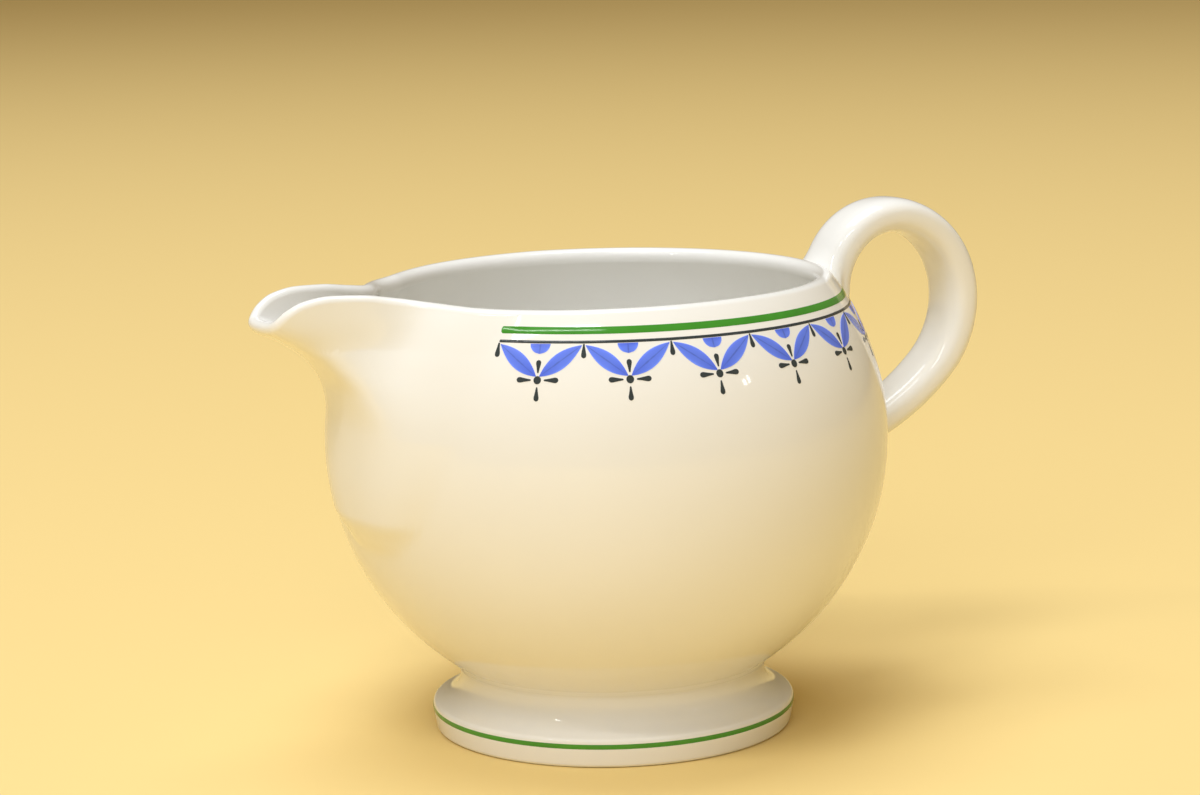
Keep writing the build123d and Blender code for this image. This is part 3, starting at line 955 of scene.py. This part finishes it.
def blue_wash(colours):
    """Thin cobalt enamel floated on with a soft brush: it pools to a darker vein along the middle, dries
    to a paler edge, and is deepest where the brush first touched, next to the flower."""
    material, tree = new_material("blue_enamel_wash")
    place = add_node(tree, "ShaderNodeUVMap", uv_map="stroke")
    parts = add_node(tree, "ShaderNodeSeparateXYZ", {"Vector": place.outputs[0]})
    beside = add_node(
        tree, "ShaderNodeMath", {0: parts.outputs["Y"], 1: 2.0, 2: -1.0}, operation="MULTIPLY_ADD"
    )
    off_middle = add_node(tree, "ShaderNodeMath", {0: beside.outputs[0]}, operation="ABSOLUTE")
    where = add_node(tree, "ShaderNodeTexCoord").outputs["Object"]
    brush = add_node(tree, "ShaderNodeTexNoise", {"Vector": where, "Scale": 900.0, "Detail": 3.0})
    wander = add_node(
        tree,
        "ShaderNodeMath",
        {0: brush.outputs["Fac"], 1: 0.22, 2: off_middle.outputs[0]},
        operation="MULTIPLY_ADD",
    )
    across = add_node(tree, "ShaderNodeValToRGB", {"Fac": wander.outputs[0]})
    blue = colours.blue
    ramp = across.color_ramp
    while len(ramp.elements) < len(WASH_STEPS):
        ramp.elements.new(0.5)
    for element, (position, strength) in zip(ramp.elements, WASH_STEPS):
        element.position = position
        element.color = (*[min(1, c * strength) for c in blue], 1)
    fade = add_node(
        tree,
        "ShaderNodeMapRange",
        {"Value": parts.outputs["X"], "From Min": 0.0, "From Max": 0.45, "To Min": 0.55, "To Max": 0.0},
    )
    first_touch = (*[c * left for c, left in zip(blue, WASH_START)], 1)
    tones = {"Factor": fade.outputs[0], 6: across.outputs[0], 7: first_touch}
    deep = add_node(tree, "ShaderNodeMix", tones, data_type="RGBA")
    motif = add_node(tree, "ShaderNodeAttribute", attribute_name="tone")
    strength = add_node(
        tree, "ShaderNodeMapRange", {"Value": motif.outputs["Fac"], "To Min": 0.93, "To Max": 1.07}
    )
    toned = add_node(
        tree,
        "ShaderNodeVectorMath",
        {0: deep.outputs[2], "Scale": strength.outputs[0]},
        operation="SCALE",
    )
    shader = add_node(
        tree,
        "ShaderNodeBsdfPrincipled",
        {"Base Color": toned.outputs[0], "Roughness": 0.16, "IOR": 1.55},
    )
    finish_material(tree, shader)
    return material


def studio_floor(colours):
    """A plain painted board with a dead matt finish."""
    material, tree = new_material("matt_floor")
    shader = add_node(
        tree,
        "ShaderNodeBsdfPrincipled",
        {"Base Color": (*colours.floor, 1), "Roughness": 0.9, "Specular IOR Level": 0.2},
    )
    finish_material(tree, shader)
    return material


def material_for(name, colours):
    """The finish of that name, made once."""
    if name in bpy.data.materials:
        return bpy.data.materials[name]
    makers = {
        "glazed_porcelain": lambda: glazed_porcelain(colours),
        "bare_biscuit": lambda: bare_biscuit(colours),
        "green_enamel_line": lambda: line_enamel("green_enamel_line", colours.green, 0.84, 160.0),
        "slate_enamel_line": lambda: line_enamel("slate_enamel_line", colours.slate, 0.8, 500.0),
        "blue_enamel_wash": lambda: blue_wash(colours),
        "matt_floor": lambda: studio_floor(colours),
    }
    return makers[name]()


# ---------------------------------------------------------------- operators


class JugOperator:
    """What every operator of the jug shares."""

    bl_options = {"REGISTER", "UNDO"}

    @property
    def sizes(self):
        """The sizes set in the sidebar."""
        return bpy.context.scene.cream_jug_sizes

    @property
    def lift(self):
        """How far the paint stands over the glaze, in millimetres."""
        return self.sizes.paint / MM

    def finish(self, name):
        """The material of that name, in the colours set in the sidebar."""
        return material_for(name, bpy.context.scene.cream_jug_colours)


class JUG_OT_vessel(JugOperator, bpy.types.Operator):
    """Build the bowl and the spout as two closed pieces of one blended shell"""

    bl_idname = "cream_jug.vessel"
    bl_label = "Bowl and Spout"

    def execute(self, context):
        made = vessel_pieces(self.sizes, self.finish("glazed_porcelain"))
        hand_over(made["bowl"], "porcelain", "bowl")
        hand_over(made["spout"], "porcelain", "spout", "spout_slip_seam")
        return {"FINISHED"}


# The foot's profile, outwards and up from the standing face, as (radius, height) or (inset from the
# widest radius, height)
FOOT_COLUMNS = 240
FOOT_SHARP = math.radians(50)
STANDING_LIMIT = 0.0001
FOOT_STANDING = ((26.9, 0.0), (29.7, 0.0))
FOOT_CORNER_CENTRE, FOOT_CORNER = 29.75, 0.8
FOOT_SIDE = ((0.22, 1.9), (0.04, 2.9), (0, 3.3), (0, 4.1))
FOOT_SHOULDER, FOOT_SHOULDER_Z = 0.85, 4.15
HOLLOW_INSET, HOLLOW_LOW_Z, HOLLOW_HIGH_Z, HOLLOW_STEPS = 0.95, 5.05, 9.4, 26
HOLLOW_PULLS = ((-2.7, 0.55), (0.05, -2.1))
NECK_INSET, NECK_FILLET, NECK_FILLET_Z = 4.85, 1.3, 10.0

# The hidden top, inside the bowl's wall, and the recess under the bowl
HIDDEN_TOP = (1.6, 12.9)
FOOT_INSIDE = (
    (24.6, 11.6),
    (23.2, 10.2),
    (23.75, 9.2),
    (24.3, 7.4),
    (25.2, 4.6),
    (26.1, 1.6),
    (26.45, 0.45),
)

# The green line on the foot
FOOT_BAND_LOW_Z, FOOT_BAND_HIGH_Z = 3.3, 4.1
FOOT_BAND_BEVEL, FOOT_BAND_EDGE_LIFT = 0.08, 0.4


class JUG_OT_foot(JugOperator, bpy.types.Operator):
    """Turn the foot ring, glazed except where it stands"""

    bl_idname = "cream_jug.foot"
    bl_label = "Foot Ring"

    def execute(self, context):
        widest = self.sizes.foot_radius / MM
        neck = widest - NECK_INSET
        profile = list(FOOT_STANDING)
        profile += arc((FOOT_CORNER_CENTRE, FOOT_CORNER), FOOT_CORNER, -90, -10, 8)
        profile += [(widest - inset, height) for inset, height in FOOT_SIDE]
        profile += arc((widest - FOOT_SHOULDER, FOOT_SHOULDER_Z), FOOT_SHOULDER, 8, 75, 9)
        # Hollow curve from the shoulder up to the neck
        start, end = np.array([widest - HOLLOW_INSET, HOLLOW_LOW_Z]), np.array([neck, HOLLOW_HIGH_Z])
        pull_one, pull_two = start + HOLLOW_PULLS[0], end + HOLLOW_PULLS[1]
        for t in np.linspace(0, 1, HOLLOW_STEPS)[1:]:
            point = (1 - t) ** 3 * start + 3 * t * (1 - t) ** 2 * pull_one
            point = point + 3 * t * t * (1 - t) * pull_two + t**3 * end
            profile.append(tuple(point))
        profile += arc((neck + NECK_FILLET, NECK_FILLET_Z), NECK_FILLET, 180, 122, 9)[1:]
        profile += [(neck + HIDDEN_TOP[0], HIDDEN_TOP[1]), *FOOT_INSIDE]
        points, faces = turned(profile, FOOT_COLUMNS)
        faces = outward(points, faces)
        mesh = mesh_from("foot_ring", points, faces, self.finish("glazed_porcelain"))
        mesh.materials.append(self.finish("bare_biscuit"))
        for face in mesh.polygons:
            if face.center.z < STANDING_LIMIT:
                face.material_index = 1
        mesh.set_sharp_from_angle(angle=FOOT_SHARP)
        hand_over(new_object("foot_ring", mesh), "porcelain", "foot", "foot_slip_seam")
        return {"FINISHED"}


class JUG_OT_handle(JugOperator, bpy.types.Operator):
    """Sweep the strap handle and flare its roots onto the bowl"""

    bl_idname = "cream_jug.handle"
    bl_label = "Strap Handle"

    def execute(self, context):
        rings = handle_points(self.sizes)
        rows, columns, _ = rings.shape
        points = rings.reshape(-1, 3)
        faces = loft_faces(rows, columns)
        centres = len(points)
        points = np.concatenate([points, rings[:1].mean(1), rings[-1:].mean(1)])
        last = (rows - 1) * columns
        for column in range(columns):
            after = (column + 1) % columns
            faces.append((centres, after, column))
            faces.append((centres + 1, last + column, last + after))
        faces = outward(points, faces)
        mesh = mesh_from("handle_strap", points, faces, self.finish("glazed_porcelain"))
        piece = new_object("handle_strap", mesh)
        hand_over(piece, "porcelain", "handle", "handle_upper_slip_seam", "handle_lower_slip_seam")
        return {"FINISHED"}


class JUG_OT_bands(JugOperator, bpy.types.Operator):
    """Paint the green band and the slate line under the rim, on both sides"""

    bl_idname = "cream_jug.bands"
    bl_label = "Rim Bands"

    def execute(self, context):
        form = Vessel(self.sizes)
        span = self.sizes.motif_pitch * self.sizes.motif_count
        bands = (
            ("rim_band", RIM_BAND_Z, RIM_BAND_HEIGHT, "green_enamel_line", "green_enamel"),
            ("border_line", BORDER_LINE_Z, BORDER_LINE_HEIGHT, "slate_enamel_line", "dark_enamel"),
        )
        for node, centre_z, height, enamel, slot in bands:
            for side, place in BOTH_SIDES:
                start = self.sizes.border_start if side < 0 else -self.sizes.border_start - span
                points, faces = band_points(form, start, span, centre_z, height, self.lift)
                name = node + "_paint_" + place
                mesh = mesh_from(name, settle(form, points), faces, self.finish(enamel))
                mesh.set_sharp_from_angle(angle=BAND_SHARP)
                hand_over(new_object(name, mesh), slot, node + "_" + place)
        return {"FINISHED"}


TONE_SEED = 11


class JUG_OT_motifs(JugOperator, bpy.types.Operator):
    """Paint one of each motif and set them out round both sides"""

    bl_idname = "cream_jug.motifs"
    bl_label = "Border Motifs"

    def execute(self, context):
        form = Vessel(self.sizes)
        tree = border_tree()
        pitch = self.sizes.motif_pitch
        motifs = (
            ("leaves", leaf_strokes, "blue_enamel_wash", "blue_enamel", 0.5),
            ("half_dots", half_dot_strokes, "blue_enamel_wash", "blue_enamel", 0.5),
            ("flowers", flower_strokes, "slate_enamel_line", "dark_enamel", 0.5),
            ("drops", drop_strokes, "slate_enamel_line", "dark_enamel", 0.0),
        )
        for node, paint, enamel, slot, first in motifs:
            for side, place in BOTH_SIDES:
                brush = Brush(form, self.lift)
                paint(brush)
                name = node + "_paint_" + place
                mesh = brush.mesh(name + "_motif", self.finish(enamel))
                start = self.sizes.border_start + first * pitch
                inputs = {
                    "Count": self.sizes.motif_count,
                    "Start": start if side < 0 else -start,
                    "Pitch": pitch if side < 0 else -pitch,
                    "Seed": TONE_SEED + side,
                    "Enamel": self.finish(enamel),
                }
                piece = set_out(form, tree, name, mesh, inputs)
                hand_over(piece, slot, node + "_" + place)
        return {"FINISHED"}


class JUG_OT_foot_band(JugOperator, bpy.types.Operator):
    """Paint the green line round the widest part of the foot"""

    bl_idname = "cream_jug.foot_band"
    bl_label = "Foot Band"

    def execute(self, context):
        widest = self.sizes.foot_radius / MM
        inner, top = widest - PAINT_ROOT, widest + self.lift
        edge = widest + self.lift * FOOT_BAND_EDGE_LIFT
        low, high = FOOT_BAND_LOW_Z, FOOT_BAND_HIGH_Z
        profile = [(inner, low), (edge, low), (top, low + FOOT_BAND_BEVEL)]
        profile += [(top, high - FOOT_BAND_BEVEL), (edge, high), (inner, high)]
        points, faces = turned(profile, FOOT_COLUMNS)
        faces = outward(points, faces)
        mesh = mesh_from("foot_band_paint", points, faces, self.finish("green_enamel_line"))
        mesh.set_sharp_from_angle(angle=BAND_SHARP)
        hand_over(new_object("foot_band_paint", mesh), "green_enamel", "foot_band")
        return {"FINISHED"}


# Where the eye stands, measured from the foot's centre, and how it looks
TURN = math.radians(28)
EYE_DISTANCE = 0.534441
EYE_HEIGHT = 0.148439
EYE_YAW, EYE_PITCH, EYE_ROLL = -0.002, 0.171, -0.024
LENS, SENSOR_WIDTH = 96.0, 36.0
NEAREST, FURTHEST = 0.01, 50.0

# The floor is a disc a hair under the foot, in millimetres
FLOOR_RADIUS, FLOOR_DROP, FLOOR_CORNERS = 6000.0, 0.02, 96

# Light from all round, and the place that the lamps look at
ROOM_COLOUR, ROOM_STRENGTH = "#E8CF9E", 0.33
LAMP_AIM = (0, 0, 0.045)

# Each lamp: its place seen from the eye's side (right, away, up), which way its height runs, its width
# and height, watts, colour, and whether the glaze mirrors it
UPRIGHT = (0.0, 0.0, 1.0)
LAMPS = (
    ("key_softbox", (-0.5, -1.4, 2.4), UPRIGHT, 1.2, 1.1, 23.0, "#E8F1FF", False),
    ("front_softbox", (-0.35, -2.1, 1.25), UPRIGHT, 1.4, 0.9, 19.0, "#E8F1FF", False),
    ("top_softbox", (-0.2, 0.3, 2.3), UPRIGHT, 1.5, 1.5, 36.0, "#ECF3FF", True),
    ("ceiling_strip", (-0.363, -0.59, 1.015), (0.654, -0.16, 0.15), 0.035, 0.69, 2.2, "#FFFFFF", True),
    ("window_left_pane", (1.0, -0.52, 0.557), UPRIGHT, 0.018, 0.045, 0.07, "#FFFFFF", True),
    ("window_right_pane", (1.03, -0.48, 0.575), UPRIGHT, 0.018, 0.05, 0.07, "#FFFFFF", True),
)


def turned_to_jug(vector):
    """A direction seen from the eye's side, in the jug's own frame."""
    c, s = math.cos(TURN), math.sin(TURN)
    x, y, z = vector
    return np.array([c * x + s * y, -s * x + c * y, z])


class JUG_OT_stage(JugOperator, bpy.types.Operator):
    """Set up the pale floor, the soft lights and the camera"""

    bl_idname = "cream_jug.stage"
    bl_label = "Stage"

    def execute(self, context):
        scene = context.scene
        scene.view_settings.view_transform = "Standard"
        self.floor()
        self.lights(scene)
        self.camera(scene)
        return {"FINISHED"}

    def floor(self):
        """A wide disc to stand on."""
        angle = np.linspace(0, 2 * math.pi, FLOOR_CORNERS, endpoint=False)
        x, y = FLOOR_RADIUS * np.cos(angle), FLOOR_RADIUS * np.sin(angle)
        points = np.stack([x, y, angle * 0 - FLOOR_DROP], -1)
        mesh = mesh_from("studio_floor", points, [range(FLOOR_CORNERS)], self.finish("matt_floor"))
        new_object("studio_floor", mesh)

    def lights(self, scene):
        """The room's own light and the lamps."""
        world = bpy.data.worlds.new("studio")
        world.use_nodes = True
        background = world.node_tree.nodes["Background"]
        background.inputs["Color"].default_value = linear(ROOM_COLOUR)
        background.inputs["Strength"].default_value = ROOM_STRENGTH
        scene.world = world
        for name, place, rise, width, height, watts, shade, mirrored in LAMPS:
            lamp = bpy.data.lights.new(name, "AREA")
            lamp.shape, lamp.size, lamp.size_y = "RECTANGLE", width, height
            lamp.energy, lamp.color = watts, linear(shade)[:3]
            holder = bpy.data.objects.new(name, lamp)
            scene.collection.objects.link(holder)
            holder.visible_glossy = mirrored
            spot = turned_to_jug(place)
            toward = np.array(LAMP_AIM) - spot
            holder.matrix_world = facing(spot, toward, turned_to_jug(rise))

    def camera(self, scene):
        """A level-headed eye a little above the rim, with a long lens."""
        lens = bpy.data.cameras.new("eye")
        lens.lens, lens.sensor_width = LENS, SENSOR_WIDTH
        lens.clip_start, lens.clip_end = NEAREST, FURTHEST
        holder = bpy.data.objects.new("eye", lens)
        scene.collection.objects.link(holder)
        level = math.cos(EYE_PITCH)
        ahead, aside = math.cos(EYE_YAW), math.sin(EYE_YAW)
        forward = np.array([aside * level, ahead * level, -math.sin(EYE_PITCH)])
        right = np.array([ahead, -aside, 0])
        up = np.cross(right, forward)
        up = up * math.cos(EYE_ROLL) - right * math.sin(EYE_ROLL)
        spot = turned_to_jug((0, -EYE_DISTANCE, EYE_HEIGHT))
        holder.matrix_world = facing(spot, turned_to_jug(forward), turned_to_jug(up))
        scene.camera = holder


def facing(spot, toward, up):
    """A matrix at a spot whose -Z looks along a direction."""
    back = -np.asarray(toward, float) / np.linalg.norm(toward)
    right = np.cross(up, back)
    right /= np.linalg.norm(right)
    upright = np.cross(back, right)
    columns = np.stack([right, upright, back], 1)
    matrix = Matrix.Identity(4)
    for row in range(3):
        for column in range(3):
            matrix[row][column] = columns[row, column]
        matrix[row][3] = spot[row]
    return matrix


class JUG_PT_panel(bpy.types.Panel):
    """The jug's sizes, colours and steps"""

    bl_idname = "JUG_PT_panel"
    bl_label = "Cream Jug"
    bl_space_type = "VIEW_3D"
    bl_region_type = "UI"
    bl_category = "Cream Jug"

    def draw(self, context):
        for group in (context.scene.cream_jug_sizes, context.scene.cream_jug_colours):
            for name in group.__annotations__:
                self.layout.prop(group, name)
        for step in STEPS:
            self.layout.operator(step.bl_idname)


STEPS = (
    JUG_OT_stage,
    JUG_OT_vessel,
    JUG_OT_foot,
    JUG_OT_handle,
    JUG_OT_bands,
    JUG_OT_motifs,
    JUG_OT_foot_band,
)
CLASSES = (JugSizes, JugColours, *STEPS, JUG_PT_panel)


def register():
    for one in CLASSES:
        bpy.utils.register_class(one)
    bpy.types.Scene.cream_jug_sizes = bpy.props.PointerProperty(type=JugSizes)
    bpy.types.Scene.cream_jug_colours = bpy.props.PointerProperty(type=JugColours)


def unregister():
    del bpy.types.Scene.cream_jug_colours
    del bpy.types.Scene.cream_jug_sizes
    for one in reversed(CLASSES):
        bpy.utils.unregister_class(one)


def main():
    register()
    for step in STEPS:
        group, name = step.bl_idname.split(".")
        getattr(getattr(bpy.ops, group), name)()


if __name__ == "__main__":
    main()
